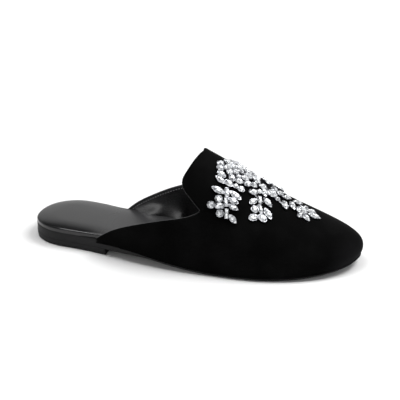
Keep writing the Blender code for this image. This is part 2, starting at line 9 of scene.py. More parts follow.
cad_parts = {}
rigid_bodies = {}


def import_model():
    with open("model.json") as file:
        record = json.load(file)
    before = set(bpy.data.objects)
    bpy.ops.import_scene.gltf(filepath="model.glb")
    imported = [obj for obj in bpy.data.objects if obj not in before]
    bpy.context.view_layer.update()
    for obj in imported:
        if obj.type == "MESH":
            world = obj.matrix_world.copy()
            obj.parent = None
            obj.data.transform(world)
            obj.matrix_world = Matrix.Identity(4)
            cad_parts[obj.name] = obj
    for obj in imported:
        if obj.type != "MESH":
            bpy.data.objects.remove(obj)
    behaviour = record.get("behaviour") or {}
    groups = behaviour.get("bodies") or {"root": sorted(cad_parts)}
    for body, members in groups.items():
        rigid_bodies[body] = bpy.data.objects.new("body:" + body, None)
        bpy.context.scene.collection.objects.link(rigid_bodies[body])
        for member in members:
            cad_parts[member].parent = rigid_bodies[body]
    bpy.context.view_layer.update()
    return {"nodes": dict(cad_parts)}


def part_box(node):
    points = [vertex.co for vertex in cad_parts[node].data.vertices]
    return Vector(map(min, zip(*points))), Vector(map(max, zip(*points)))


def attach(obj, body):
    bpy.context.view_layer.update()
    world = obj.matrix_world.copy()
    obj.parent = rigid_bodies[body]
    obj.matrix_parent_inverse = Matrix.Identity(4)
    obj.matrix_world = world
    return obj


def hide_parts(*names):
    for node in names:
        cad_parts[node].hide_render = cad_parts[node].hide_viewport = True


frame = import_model()
scene = bpy.context.scene
mm = 0.001
print("frame loaded:", len(frame["nodes"]), "nodes")


# small helpers
def hexToLinear(hexCode):
    parts = [int(hexCode[i : i + 2], 16) / 255 for i in (1, 3, 5)]
    return [c / 12.92 if c <= 0.04045 else ((c + 0.055) / 1.055) ** 2.4 for c in parts] + [1.0]


def addNode(tree, kind, inputs=None, **attributes):
    node = tree.nodes.new(kind)
    for name, value in attributes.items():
        setattr(node, name, value)
    for key, value in (inputs or {}).items():
        if isinstance(value, bpy.types.NodeSocket):
            tree.links.new(value, node.inputs[key])
        else:
            node.inputs[key].default_value = value
    return node


def rampStops(ramp, stops):
    band = ramp.color_ramp
    while len(band.elements) < len(stops):
        band.elements.new(0.5)
    for element, (place, hexCode) in zip(band.elements, stops):
        element.position = place
        element.color = hexToLinear(hexCode)
    return ramp


def startMaterial(name, **sockets):
    mat = bpy.data.materials.new(name)
    mat.use_nodes = True
    tree = mat.node_tree
    shader = tree.nodes["Principled BSDF"]
    for key, value in sockets.items():
        shader.inputs[key.replace("_", " ")].default_value = value
    place = addNode(tree, "ShaderNodeTexCoord").outputs["Object"]
    return mat, tree, shader, place


def eased(share):
    # from 0 to 1 with a soft start and a soft end
    share = min(max(share, 0.0), 1.0)
    return share * share * (3 - 2 * share)


def only(piece):
    bpy.ops.object.select_all(action="DESELECT")
    piece.select_set(True)
    bpy.context.view_layer.objects.active = piece


def joinParts(parts, name):
    bpy.ops.object.select_all(action="DESELECT")
    for part in parts:
        part.select_set(True)
    bpy.context.view_layer.objects.active = parts[0]
    bpy.ops.object.join()
    parts[0].name = name
    return parts[0]


def nodeCopy(nodeName, pieceName):
    # a CAD node's skin as one joined mesh of quads, under a new name
    piece = bpy.data.objects.new(pieceName, frame["nodes"][nodeName].data.copy())
    scene.collection.objects.link(piece)
    piece.data.materials.clear()
    only(piece)
    if piece.data.has_custom_normals:
        bpy.ops.mesh.customdata_custom_splitnormals_clear()
    bpy.ops.object.mode_set(mode="EDIT")
    bpy.ops.mesh.select_all(action="SELECT")
    bpy.ops.mesh.remove_doubles(threshold=0.01 * mm)
    bend = math.radians(80)  # triangles that meet flatter than this become one quad
    bpy.ops.mesh.tris_convert_to_quads(face_threshold=bend, shape_threshold=bend)
    bpy.ops.object.mode_set(mode="OBJECT")
    return piece


def applied(piece, kind, **settings):
    only(piece)
    modifier = piece.modifiers.new(kind.lower(), kind)
    for name, value in settings.items():
        setattr(modifier, name, value)
    bpy.ops.object.modifier_apply(modifier=modifier.name)


def smoothThrough(piece, levels, rounds=4):
    # subdivision surface that still passes through the CAD corners: the cage is let out by what it loses
    goal = [vertex.co.copy() for vertex in piece.data.vertices]
    modifier = piece.modifiers.new("smooth", "SUBSURF")
    modifier.levels = levels
    modifier.render_levels = levels
    modifier.boundary_smooth = "PRESERVE_CORNERS"
    for _ in range(rounds):
        bpy.context.view_layer.update()
        smooth = piece.evaluated_get(bpy.context.evaluated_depsgraph_get())
        reached = [vertex.co.copy() for vertex in smooth.to_mesh().vertices[: len(goal)]]
        smooth.to_mesh_clear()
        for vertex, wanted, got in zip(piece.data.vertices, goal, reached):
            vertex.co += wanted - got
        piece.data.update()
    only(piece)
    bpy.ops.object.modifier_apply(modifier=modifier.name)


def creaseSharp(piece, degrees):
    only(piece)
    bpy.ops.object.mode_set(mode="EDIT")
    bpy.ops.mesh.select_mode(type="EDGE")
    bpy.ops.mesh.select_all(action="DESELECT")
    bpy.ops.mesh.edges_select_sharp(sharpness=math.radians(degrees))
    bpy.ops.transform.edge_crease(value=1.0)
    bpy.ops.mesh.select_mode(type="FACE")
    bpy.ops.object.mode_set(mode="OBJECT")


def creaseAlong(piece, shortest, flat=0.97, steep=0.35):
    # the edges that run round the outline stay crisp, so that smoothing only rounds the outline itself
    only(piece)
    bpy.ops.object.mode_set(mode="EDIT")
    bm = bmesh.from_edit_mesh(piece.data)
    crease = bm.edges.layers.float.get("crease_edge") or bm.edges.layers.float.new("crease_edge")
    for edge in bm.edges:
        length = edge.calc_length()
        rise = abs(edge.verts[0].co.z - edge.verts[1].co.z)
        onSide = any(abs(face.normal.z) < flat for face in edge.link_faces)
        if onSide and length > shortest and rise < steep * length:
            edge[crease] = 1.0
    bmesh.update_edit_mesh(piece.data)
    bpy.ops.object.mode_set(mode="OBJECT")


def meshTree(mesh):
    return BVHTree.FromPolygons(
        [vertex.co.copy() for vertex in mesh.vertices],
        [tuple(face.vertices) for face in mesh.polygons],
    )


def straightDown(skin, spot):
    # the place on a skin under a spot, and its normal
    above = Vector((spot[0], spot[1], 0.4))  # higher than the whole shoe
    return skin.ray_cast(above, Vector((0, 0, -1)))[:2]


def letOut(piece, move):
    # shifts each vertex by what its place and normal ask for; all the normals are taken first
    mesh = piece.data
    normals = [vertex.normal.copy() for vertex in mesh.vertices]
    for vertex, normal in zip(mesh.vertices, normals):
        vertex.co += move(vertex.co.copy(), normal)
    mesh.update()


def finishPiece(piece, mats, degrees=35):
    for mat in mats:
        piece.data.materials.append(mat)
    only(piece)
    bpy.ops.object.shade_smooth_by_angle(angle=math.radians(degrees))
    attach(piece, "root")
    return piece


# camera first: the photo's angle, worked out from the outline of the sole and the vamp
view = {
    "azimuth": 16.82,
    "elevation": 22.97,
    "distance": 835.66 * mm,
    "lens": 99.55,
    "target": Vector((2.92, 6.70, 37.05)) * mm,
}
turn = math.radians(view["azimuth"])
lift = math.radians(view["elevation"])
back = Vector((math.sin(turn) * math.cos(lift), -math.cos(turn) * math.cos(lift), math.sin(lift)))
bpy.ops.object.camera_add(location=view["target"] + back * view["distance"])
camera = bpy.context.object
camera.rotation_mode = "QUATERNION"
camera.rotation_quaternion = (-back).to_track_quat("-Z", "Y")
camera.data.lens = view["lens"]
camera.data.sensor_width = 36
camera.data.clip_start = 0.01
camera.data.clip_end = 50
scene.camera = camera
print("camera set")


# velvet, short cut pile: black body that greys where it is seen edge on, faint brushed patches, and a
# painted sheen that lightens the peak over the throat and the rim of the toe
velvet = {
    "deep": "#030303",
    "brushed": "#0a0a0a",
    "paintedSheenTone": "#111112",
    "patch": 30 * mm,
    "pile": 0.9 * mm,  # coarser than the real pile, so that it shows
    "paintedSheenSpots": (  # centre and reach in mm of the painted sheen: the peak over the throat, the rim of the toe
        ((-7, 6, 80), 16),
        ((120, -6, 4), 26),
    ),
    "core": 0.2,  # share of the reach that takes the painted sheen in full
}
velvetMat, tree, shader, place = startMaterial(
    "cut_pile_velvet",
    Roughness=0.95,
    Specular_IOR_Level=0.04,
    Sheen_Weight=0.10,
    Sheen_Roughness=0.35,
    Sheen_Tint=hexToLinear("#8c8c90"),
)
patches = addNode(tree, "ShaderNodeTexNoise", {"Vector": place, "Scale": 1 / velvet["patch"], "Detail": 3.0})
pileTone = rampStops(
    addNode(tree, "ShaderNodeValToRGB", {"Fac": patches.outputs["Fac"]}),
    [(0.45, velvet["deep"]), (0.75, velvet["brushed"])],
)
pileColour = pileTone.outputs["Color"]
# painted sheen: the pile is lightened round the peak over the throat and along the rim of the toe
for centre, reach in velvet["paintedSheenSpots"]:
    away = addNode(tree, "ShaderNodeVectorMath", {0: place, 1: Vector(centre) * mm}, operation="DISTANCE")
    sheenFade = addNode(
        tree,
        "ShaderNodeMapRange",
        {"Value": away.outputs["Value"], "From Min": reach * mm, "From Max": velvet["core"] * reach * mm},
        interpolation_type="SMOOTHSTEP",
    )
    paintedLightMix = addNode(
        tree,
        "ShaderNodeMix",
        {"Factor": sheenFade.outputs["Result"], 6: pileColour, 7: hexToLinear(velvet["paintedSheenTone"])},
        data_type="RGBA",
    )
    pileColour = paintedLightMix.outputs[2]
tree.links.new(pileColour, shader.inputs["Base Color"])
pile = addNode(tree, "ShaderNodeTexNoise", {"Vector": place, "Scale": 1 / velvet["pile"], "Detail": 2.0})
pileBump = addNode(
    tree, "ShaderNodeBump", {"Height": pile.outputs["Fac"], "Strength": 0.35, "Distance": 0.25 * mm}
)
tree.links.new(pileBump.outputs["Normal"], shader.inputs["Normal"])


# box calf, finished smooth: fine pebble grain, soft gloss that varies in clouds and from pore to pore
def leatherMaterial(name, look):
    mat, tree, shader, place = startMaterial(
        name, Specular_IOR_Level=look["specular"], Coat_Weight=look["coat"], Coat_Roughness=0.25
    )
    cloud = addNode(tree, "ShaderNodeTexNoise", {"Vector": place, "Scale": 1 / look["cloud"], "Detail": 4.0})
    tone = rampStops(
        addNode(tree, "ShaderNodeValToRGB", {"Fac": cloud.outputs["Fac"]}),
        [(0.35, look["dark"]), (0.70, look["light"])],
    )
    gloss = addNode(
        tree,
        "ShaderNodeMapRange",
        {"Value": cloud.outputs["Fac"], "To Min": look["gloss"][0], "To Max": look["gloss"][1]},
    )
    # ahead of a line across the shoe it takes its other tone: on the insole a lighter, painted reflection,
    # on the lining a darker, painted shade; and the insole is duller there
    forward = addNode(tree, "ShaderNodeSeparateXYZ", {"Vector": place}).outputs["X"]
    ahead = addNode(
        tree,
        "ShaderNodeMapRange",
        {"Value": forward, "From Min": look["seat"][0], "From Max": look["seat"][1]},
        interpolation_type="SMOOTHSTEP",
    ).outputs["Result"]
    paintedLightMix = addNode(
        tree,
        "ShaderNodeMix",
        {"Factor": ahead, 6: tone.outputs["Color"], 7: hexToLinear(look["ahead"])},
        data_type="RGBA",
    )
    tree.links.new(paintedLightMix.outputs[2], shader.inputs["Base Color"])
    roughness = addNode(
        tree,
        "ShaderNodeMath",
        {0: ahead, 1: look["dull"], 2: gloss.outputs["Result"]},
        operation="MULTIPLY_ADD",
    )
    grain = addNode(
        tree,
        "ShaderNodeTexVoronoi",
        {"Vector": place, "Scale": 1 / look["grain"], "Randomness": 1.0},
        feature="DISTANCE_TO_EDGE",
    )
    poresPerGrain = 4
    pores = addNode(
        tree, "ShaderNodeTexNoise", {"Vector": place, "Scale": poresPerGrain / look["grain"], "Detail": 2.0}
    )
    # the gloss also varies at the scale of the pores
    poreRange = (0.3, 0.7)  # where most of the noise lies
    duller = addNode(
        tree,
        "ShaderNodeMapRange",
        {
            "Value": pores.outputs["Fac"],
            "From Min": poreRange[0],
            "From Max": poreRange[1],
            "To Min": -look["pored"],
            "To Max": look["pored"],
        },
    )
    pored = addNode(
        tree, "ShaderNodeMath", {0: roughness.outputs["Value"], 1: duller.outputs["Result"]}, operation="ADD"
    )
    tree.links.new(pored.outputs["Value"], shader.inputs["Roughness"])
    rough = addNode(
        tree,
        "ShaderNodeMath",
        {0: grain.outputs["Distance"], 1: pores.outputs["Fac"]},
        operation="ADD",
    )
    bump = addNode(
        tree,
        "ShaderNodeBump",
        {"Height": rough.outputs["Value"], "Strength": look["bump"], "Distance": 0.12 * mm},
    )
    wave = addNode(tree, "ShaderNodeTexNoise", {"Vector": place, "Scale": 1 / look["wave"], "Detail": 0.0})
    slack = addNode(
        tree,
        "ShaderNodeBump",
        {"Height": wave.outputs["Fac"], "Distance": look["slack"], "Normal": bump.outputs["Normal"]},
    )
    tree.links.new(slack.outputs["Normal"], shader.inputs["Normal"])
    return mat


insoleLook = {
    "dark": "#0e0e0f",
    "light": "#151516",
    "cloud": 22 * mm,
    "gloss": (0.14, 0.22),
    "seat": (-80 * mm, -46 * mm),
    # painted reflection: the insole is lighter ahead of the heel seat
    "ahead": "#303031",
    "dull": 0.24,
    "pored": 0.08,
    "grain": 1.6 * mm,  # coarser than real calf, so that it shows
    "bump": 0.08,
    "specular": 0.5,
    "coat": 0.0,
    "wave": 30 * mm,
    "slack": 0.25 * mm,
}
liningLook = {
    "dark": "#121213",
    "light": "#1e1e20",
    "cloud": 18 * mm,
    "gloss": (0.22, 0.32),
    "seat": (-24 * mm, -10 * mm),
    # painted shade: the lining is darker further into the shoe
    "ahead": "#0c0c0d",
    "dull": 0.0,
    "pored": 0.07,
    "grain": 1.0 * mm,  # coarser than real calf, so that it shows
    "bump": 0.15,
    "specular": 1.0,
    "coat": 1.0,
    "wave": 13 * mm,
    "slack": 1.6 * mm,
}
insoleMat = leatherMaterial("smooth_box_calf", insoleLook)
liningMat = leatherMaterial("lining_calf", liningLook)

# moulded sole rubber: matt, faint mould texture, ribbed fine tread underneath
soleLook = {
    "dark": "#0b0b0c",
    "light": "#101011",
    "speck": 1.2 * mm,
    "gloss": (0.48, 0.66),
    "rib": 4.55 * mm,  # from crest to crest
    "under": (-0.9, -0.98),  # only faces that look straight down have ribs
    "speckShare": 0.12,
}
soleMat, tree, shader, place = startMaterial("sole_rubber", Specular_IOR_Level=0.24)
speck = addNode(tree, "ShaderNodeTexNoise", {"Vector": place, "Scale": 1 / soleLook["speck"], "Detail": 4.0})
soleTone = rampStops(
    addNode(tree, "ShaderNodeValToRGB", {"Fac": speck.outputs["Fac"]}),
    [(0.35, soleLook["dark"]), (0.70, soleLook["light"])],
)
tree.links.new(soleTone.outputs["Color"], shader.inputs["Base Color"])
skinWay = addNode(tree, "ShaderNodeNewGeometry").outputs["Normal"]
facing = addNode(tree, "ShaderNodeSeparateXYZ", {"Vector": skinWay})
soleGloss = addNode(
    tree,
    "ShaderNodeMapRange",
    {"Value": speck.outputs["Fac"], "To Min": soleLook["gloss"][0], "To Max": soleLook["gloss"][1]},
)
tree.links.new(soleGloss.outputs["Result"], shader.inputs["Roughness"])
underside = addNode(
    tree,
    "ShaderNodeMapRange",
    {"Value": facing.outputs["Z"], "From Min": soleLook["under"][0], "From Max": soleLook["under"][1]},
)
bandGap = math.pi / 5 / math.sqrt(2)  # between the wave node's diagonal bands at scale 1, on level ground
ribs = addNode(
    tree,
    "ShaderNodeTexWave",
    {"Vector": place, "Scale": bandGap / soleLook["rib"], "Distortion": 0.0},
    wave_type="BANDS",
    bands_direction="DIAGONAL",
)
tread = addNode(
    tree, "ShaderNodeMath", {0: ribs.outputs["Fac"], 1: underside.outputs["Result"]}, operation="MULTIPLY"
)
soleRelief = addNode(
    tree,
    "ShaderNodeMath",
    {0: speck.outputs["Fac"], 1: soleLook["speckShare"], 2: tread.outputs["Value"]},
    operation="MULTIPLY_ADD",
)
soleBump = addNode(
    tree, "ShaderNodeBump", {"Height": soleRelief.outputs["Value"], "Strength": 0.5, "Distance": 0.4 * mm}
)
tree.links.new(soleBump.outputs["Normal"], shader.inputs["Normal"])


# folded ribbon on the cut edge: a grey painted highlight along the fold's crest, dull woven tape where it is
# turned in;
# its ribs are drawn coarser than real ones, so that they show
def ribbonMaterial(name, look):
    mat, tree, shader, place = startMaterial(
        name, Roughness=0.7, Specular_IOR_Level=0.2, Sheen_Weight=0.25, Sheen_Roughness=0.4
    )
    weave = addNode(tree, "ShaderNodeTexNoise", {"Vector": place, "Scale": 1 / look["rib"], "Detail": 3.0})
    tone = rampStops(
        addNode(tree, "ShaderNodeValToRGB", {"Fac": weave.outputs["Fac"]}),
        [(0.35, look["dark"]), (0.70, look["light"])],
    )
    tree.links.new(tone.outputs["Color"], shader.inputs["Base Color"])
    bump = addNode(
        tree, "ShaderNodeBump", {"Height": weave.outputs["Fac"], "Strength": 0.5, "Distance": 0.2 * mm}
    )
    tree.links.new(bump.outputs["Normal"], shader.inputs["Normal"])
    return mat


# painted highlight: the fold's crest is lighter than the velvet it is folded from
foldHighlightMat = ribbonMaterial("fold_painted_highlight", {"dark": "#2c2c2d", "light": "#3e3e3f", "rib": 0.9 * mm})
tapeMat = ribbonMaterial("woven_tape", {"dark": "#1c1c1d", "light": "#28282a", "rib": 0.9 * mm})

# bonded nylon thread: smooth and a little glossy, twisted plies that are drawn coarse enough to show
threadLook = {"dark": "#727274", "light": "#969698", "ply": 0.5 * mm}
threadMat, tree, shader, place = startMaterial("nylon_thread", Roughness=0.45)
plies = addNode(tree, "ShaderNodeTexNoise", {"Vector": place, "Scale": 1 / threadLook["ply"], "Detail": 1.0})
threadTone = rampStops(
    addNode(tree, "ShaderNodeValToRGB", {"Fac": plies.outputs["Fac"]}),
    [(0.35, threadLook["dark"]), (0.70, threadLook["light"])],
)
tree.links.new(threadTone.outputs["Color"], shader.inputs["Base Color"])

# cut lead crystal with a silver foil behind: hard sparkle, and each small facet's colour is a painted
# reflection, light or dark
crystalLook = {"facet": 1.1 * mm}
crystalMat, tree, shader, place = startMaterial(
    "foiled_crystal",
    Metallic=0.7,
    Roughness=0.22,
    Coat_Weight=0.12,
    Coat_Roughness=0.03,
)
facets = addNode(tree, "ShaderNodeTexVoronoi", {"Vector": place, "Scale": 1 / crystalLook["facet"]})
sparkle = addNode(tree, "ShaderNodeSeparateColor", {"Color": facets.outputs["Color"]})
# painted reflection: the colour goes light or dark from facet to facet
facetPaintedReflection = rampStops(
    addNode(tree, "ShaderNodeValToRGB", {"Fac": sparkle.outputs["Red"]}),
    [(0.0, "#66676b"), (0.2, "#a4a6aa"), (0.5, "#ccced1"), (0.85, "#f2f4f5")],
)
tree.links.new(facetPaintedReflection.outputs["Color"], shader.inputs["Base Color"])
starCuts = addNode(
    tree, "ShaderNodeBump", {"Height": facets.outputs["Distance"], "Strength": 0.7, "Distance": 0.5 * mm}
)
tree.links.new(starCuts.outputs["Normal"], shader.inputs["Normal"])

# rhodium plated brass of the cups and claws: bright, softly polished
silverLook = {"dark": "#848589", "light": "#b2b3b7", "patch": 2.0 * mm}
silverMat, tree, shader, place = startMaterial("rhodium_plate", Metallic=1.0, Roughness=0.28)
polish = addNode(
    tree, "ShaderNodeTexNoise", {"Vector": place, "Scale": 1 / silverLook["patch"], "Detail": 2.0}
)
silverTone = rampStops(
    addNode(tree, "ShaderNodeValToRGB", {"Fac": polish.outputs["Fac"]}),
    [(0.35, silverLook["dark"]), (0.70, silverLook["light"])],
)
tree.links.new(silverTone.outputs["Color"], shader.inputs["Base Color"])
print("materials ready")


# vamp: the CAD wall parted into its velvet and its lining
vamp = {
    "axisHeight": 18 * mm,
    "toeX": 41.3 * mm,
    "toeY": 9.4 * mm,
    "heelX": -127.0 * mm,
    "heelY": 1.0 * mm,
    "facing": 0.35,  # faces that look out, or in, less squarely than this belong to the wall's edges
    "under": -0.7,  # normals below this look down
    "sharp": 50,
    "levels": 2,
    "velvetWall": 0.9 * mm,
    "liningWall": 0.55 * mm,
    # the velvet is drawn down over the sole's edge, further at the wing tips
    "lip": (0.2 * mm, 1.9 * mm),
    "lipRun": (-30 * mm, -64 * mm),
    "pile": 0.3 * mm,
}


def vampMiddle(x):
    # a line inside the shoe, from the heel to the middle of the toe's arc
    x = min(x, vamp["toeX"])
    share = (x - vamp["heelX"]) / (vamp["toeX"] - vamp["heelX"])
    return Vector((x, vamp["heelY"] + (vamp["toeY"] - vamp["heelY"]) * share, vamp["axisHeight"]))


def cutEdge(face):
    # a face of the wall's cut edge is sharp along two edges that don't touch
    sharp = [edge for edge in face.edges if edge.calc_face_angle(0.0) > math.radians(vamp["sharp"])]
    return any(not set(one.verts) & set(two.verts) for one in sharp for two in sharp)


def vampSkin(pieceName, side):
    piece = nodeCopy("upper", pieceName)
    bpy.ops.object.mode_set(mode="EDIT")
    bpy.ops.mesh.select_mode(type="FACE")
    bpy.ops.mesh.select_all(action="DESELECT")
    bm = bmesh.from_edit_mesh(piece.data)
    for face in bm.faces:
        centre = face.calc_center_median()
        outward = (centre - vampMiddle(centre.x)).normalized()
        face.select = face.normal.dot(outward) * side < vamp["facing"] or cutEdge(face)
    for edge in bm.edges:  # the feather edge lies between a wall face and a face that looks down
        looksDown = any(face.select and face.normal.z < vamp["under"] for face in edge.link_faces)
        edge.seam = looksDown and any(not face.select for face in edge.link_faces)
    bmesh.update_edit_mesh(piece.data)
    bpy.ops.mesh.delete(type="FACE")
    return piece


def endSkin(piece):
    bpy.ops.object.mode_set(mode="OBJECT")
    smoothThrough(piece, vamp["levels"])
    return meshTree(piece.data)


vampVelvet = vampSkin("vamp_velvet", 1)
bpy.ops.mesh.select_mode(type="EDGE")
bpy.ops.mesh.select_all(action="DESELECT")
bm = bmesh.from_edit_mesh(vampVelvet.data)
for edge in bm.edges:
    if edge.seam:
        edge.select_set(True)
bmesh.update_edit_mesh(vampVelvet.data)
bpy.ops.mesh.extrude_edges_move(TRANSFORM_OT_translate={"value": (0, 0, -vamp["lip"][0])})
bm = bmesh.from_edit_mesh(vampVelvet.data)
for vert in bm.verts:
    if vert.select:
        share = (vert.co.x - vamp["lipRun"][0]) / (vamp["lipRun"][1] - vamp["lipRun"][0])
        vert.co.z -= (vamp["lip"][1] - vamp["lip"][0]) * eased(share)
bmesh.update_edit_mesh(vampVelvet.data)
velvetTree = endSkin(vampVelvet)
vampLining = vampSkin("vamp_lining", -1)
endSkin(vampLining)


def toplinePath(mesh):
    # a skin's free edge from the outer wing tip over the throat to the inner wing tip
    bm = bmesh.new()
    bm.from_mesh(mesh)
    edges = [edge for edge in bm.edges if edge.is_boundary]
    beside = {}
    for edge in edges:
        for one, two in (edge.verts, reversed(edge.verts)):
            beside.setdefault(one.index, []).append(two.index)
    spots = {v.index: v.co.copy() for edge in edges for v in edge.verts}
    bm.free()
    start = min((i for i in spots if spots[i].y < 0), key=lambda i: spots[i].x)
    end = min((i for i in spots if spots[i].y > 0), key=lambda i: spots[i].x)
    best = []
    for step in beside[start]:
        path = [start, step]
        while path[-1] != end:
            path.append(next(i for i in beside[path[-1]] if i != path[-2]))
        height = sum(spots[i].z for i in path) / len(path)
        best.append((height, [spots[i] for i in path]))
    return max(best, key=lambda item: item[0])[1]


def evenly(path, spacing):
    lengths = [0.0]
    for one, two in zip(path, path[1:]):
        lengths.append(lengths[-1] + (two - one).length)
    count = round(lengths[-1] / spacing)
    points = []
    k = 0
    for i in range(count + 1):
        goal = lengths[-1] * i / count
        while k < len(path) - 2 and lengths[k + 1] < goal:
            k += 1
        share = (goal - lengths[k]) / max(lengths[k + 1] - lengths[k], 1e-9)
        points.append(path[k].lerp(path[k + 1], min(share, 1.0)))
    return points


def edgeFrame(path, i, skin):
    # at a point of the free edge: the way along it, the skin's normal and the way in from the edge
    beside = 2
    reach = 4 * mm
    along = (path[min(i + beside, len(path) - 1)] - path[max(i - beside, 0)]).normalized()
    normal = skin.find_nearest(path[i])[1]
    inward = along.cross(normal).normalized()
    if skin.find_nearest(path[i] + inward * reach)[3] > skin.find_nearest(path[i] - inward * reach)[3]:
        inward = -inward
    return along, normal, inward


def walkIn(skin, spot, inward, reach):
    # over the skin in steps of a millimetre or less
    steps = max(1, math.ceil(reach / mm))
    for _ in range(steps):
        spot, normal, _, _ = skin.find_nearest(spot + inward * reach / steps)
        inward = (inward - normal * inward.dot(normal)).normalized()
    return spot, normal


# the lining rounds into the insole behind the ball, with soft folds on the inner side
fillet = {
    "height": 17 * mm,
    "clear": 9 * mm,  # from the topline, which keeps its place, to the full depth
    # place along the shoe and depth there, in mm
    "inner": ((-60, 3.5), (-42, 4.3), (-29, 2.6), (-18, 6.2), (-12, 1.2), (-4, 0.0)),
    "outer": ((-60, 3.2), (-42, 3.2), (-10, 0.0)),
}
insoleTree = meshTree(frame["nodes"]["insole"].data)
innerEdge = toplinePath(vampLining.data)


def foldDepth(spot):
    rows = fillet["inner"] if spot.y > 0 else fillet["outer"]
    for (start, depth), (end, endDepth) in zip(rows, rows[1:]):
        if spot.x < end * mm:
            share = (spot.x / mm - start) / (end - start)
            return (depth + (endDepth - depth) * eased(share)) * mm
    return 0.0


def turnedUnder(spot, normal):
    low = max(0.0, 1 - insoleTree.find_nearest(spot)[3] / fillet["height"])
    under = min(min((spot - point).length for point in innerEdge) / fillet["clear"], 1.0)
    return normal * foldDepth(spot) * low * low * under * under


letOut(vampLining, turnedUnder)
liningTree = meshTree(vampLining.data)

# velvet ribbon folded over the cut edge: a short lip outside, a narrow turn-in inside with a row of stitches
ribbon = {
    "spacing": 1.6 * mm,
    "edgeSpacing": 0.3 * mm,
    "round": (35, 65, 90, 115, 145),  # degrees over the crest
    "lip": 0.8 * mm,
    "proud": 0.3 * mm,
    "crest": 1.9 * mm,
    "fuller": 1.3,
    "looks": (0, 0, 0, 1, 1, 2, 2, 2, 2, 2),  # across it: velvet, the fold with its painted highlight, tape inside
    "turnIn": (0.3 * mm, 0.6 * mm, 0.9 * mm),
    "wall": 0.14 * mm,
    "levels": 1,
}
stitch = {
    "inset": 0.5 * mm,
    "spacing": 2.3 * mm,
    "length": 1.7 * mm,
    "thick": 0.7 * mm,
    "flat": 0.8,
    "ends": 2,  # left out at each wing tip
}
outerEdge = evenly(toplinePath(vampVelvet.data), ribbon["edgeSpacing"])
ribbonPath = evenly(innerEdge, ribbon["spacing"])
ribbonRows = []
for i, inner in enumerate(ribbonPath):
    _, innerNormal, inward = edgeFrame(ribbonPath, i, liningTree)
    outer = min(outerEdge, key=lambda point: (point - inner).length)
    outerNormal = velvetTree.find_nearest(outer)[1]
    middle = (inner + outer) / 2
    half = (outer - inner) / 2
    row = [walkIn(velvetTree, outer, inward, ribbon["lip"])[0], outer + outerNormal * ribbon["proud"]]
    for degrees in ribbon["round"]:
        angle = math.radians(degrees)
        across = half * math.cos(angle) * ribbon["fuller"]
        row.append(middle + across - inward * ribbon["crest"] * math.sin(angle))
    row.append(inner + innerNormal * ribbon["proud"])
    for reach in ribbon["turnIn"]:
        spot, normal = walkIn(liningTree, inner, inward, reach)
        row.append(spot + normal * ribbon["proud"])
    ribbonRows.append(row)
wide = len(ribbonRows[0])
ribbonMesh = bpy.data.meshes.new("topline_ribbon")
ribbonMesh.from_pydata(
    [point for row in ribbonRows for point in row],
    [],
    [
        (i * wide + k, i * wide + k + 1, (i + 1) * wide + k + 1, (i + 1) * wide + k)
        for i in range(len(ribbonRows) - 1)
        for k in range(wide - 1)
    ],
)
toplineRibbon = bpy.data.objects.new("topline_ribbon", ribbonMesh)
scene.collection.objects.link(toplineRibbon)
for polygon in ribbonMesh.polygons:
    polygon.material_index = ribbon["looks"][polygon.index % (wide - 1)]
smoothThrough(toplineRibbon, ribbon["levels"])
applied(toplineRibbon, "SOLIDIFY", thickness=ribbon["wall"], offset=0.0)
only(toplineRibbon)
bpy.ops.object.mode_set(mode="EDIT")
bpy.ops.mesh.select_all(action="SELECT")
bpy.ops.mesh.normals_make_consistent(inside=False)
bpy.ops.object.mode_set(mode="OBJECT")
finishPiece(toplineRibbon, [velvetMat, foldHighlightMat, tapeMat], degrees=60)
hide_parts("topline_binding")


def gather(pieceName, models, matrices):
    # copies of small models, each set by its matrix, joined as one piece
    copies = []
    for model, matrix in zip(models, matrices):
        copy = model.copy()
        copy.data = model.data.copy()
        copy.data.transform(matrix)
        scene.collection.objects.link(copy)
        copies.append(copy)
    piece = joinParts(copies, pieceName)
    piece.data.name = pieceName
    return piece


def axesMatrix(spot, forward, up):
    side = up.cross(forward).normalized()
    forward = side.cross(up).normalized()
    return Matrix.Translation(spot) @ Matrix((forward, side, up)).transposed().to_4x4()


bpy.ops.object.select_all(action="DESELECT")
bpy.ops.mesh.primitive_uv_sphere_add(segments=8, ring_count=6, radius=stitch["thick"] / 2)
stitchModel = bpy.context.object
stitchModel.data.transform(Matrix.Diagonal((stitch["length"] / stitch["thick"], 1, stitch["flat"], 1)))
stitchPath = evenly(innerEdge, stitch["spacing"])
stitchPlaces = []
for i in range(stitch["ends"], len(stitchPath) - stitch["ends"]):
    along, _, inward = edgeFrame(stitchPath, i, liningTree)
    spot, normal = walkIn(liningTree, stitchPath[i], inward, stitch["inset"])
    stitchPlaces.append(axesMatrix(spot + normal * ribbon["proud"], along, normal))
toplineStitches = gather("topline_stitches", [stitchModel] * len(stitchPlaces), stitchPlaces)
bpy.data.objects.remove(stitchModel)
finishPiece(toplineStitches, [threadMat])

letOut(vampVelvet, lambda spot, normal: normal * vamp["pile"])
applied(vampVelvet, "SOLIDIFY", thickness=vamp["velvetWall"] + vamp["pile"], offset=-1.0)
finishPiece(vampVelvet, [velvetMat], degrees=60)
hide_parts("upper")
applied(vampLining, "SOLIDIFY", thickness=vamp["liningWall"], offset=-1.0)
finishPiece(vampLining, [liningMat], degrees=60)
print("vamp, lining and edge made")

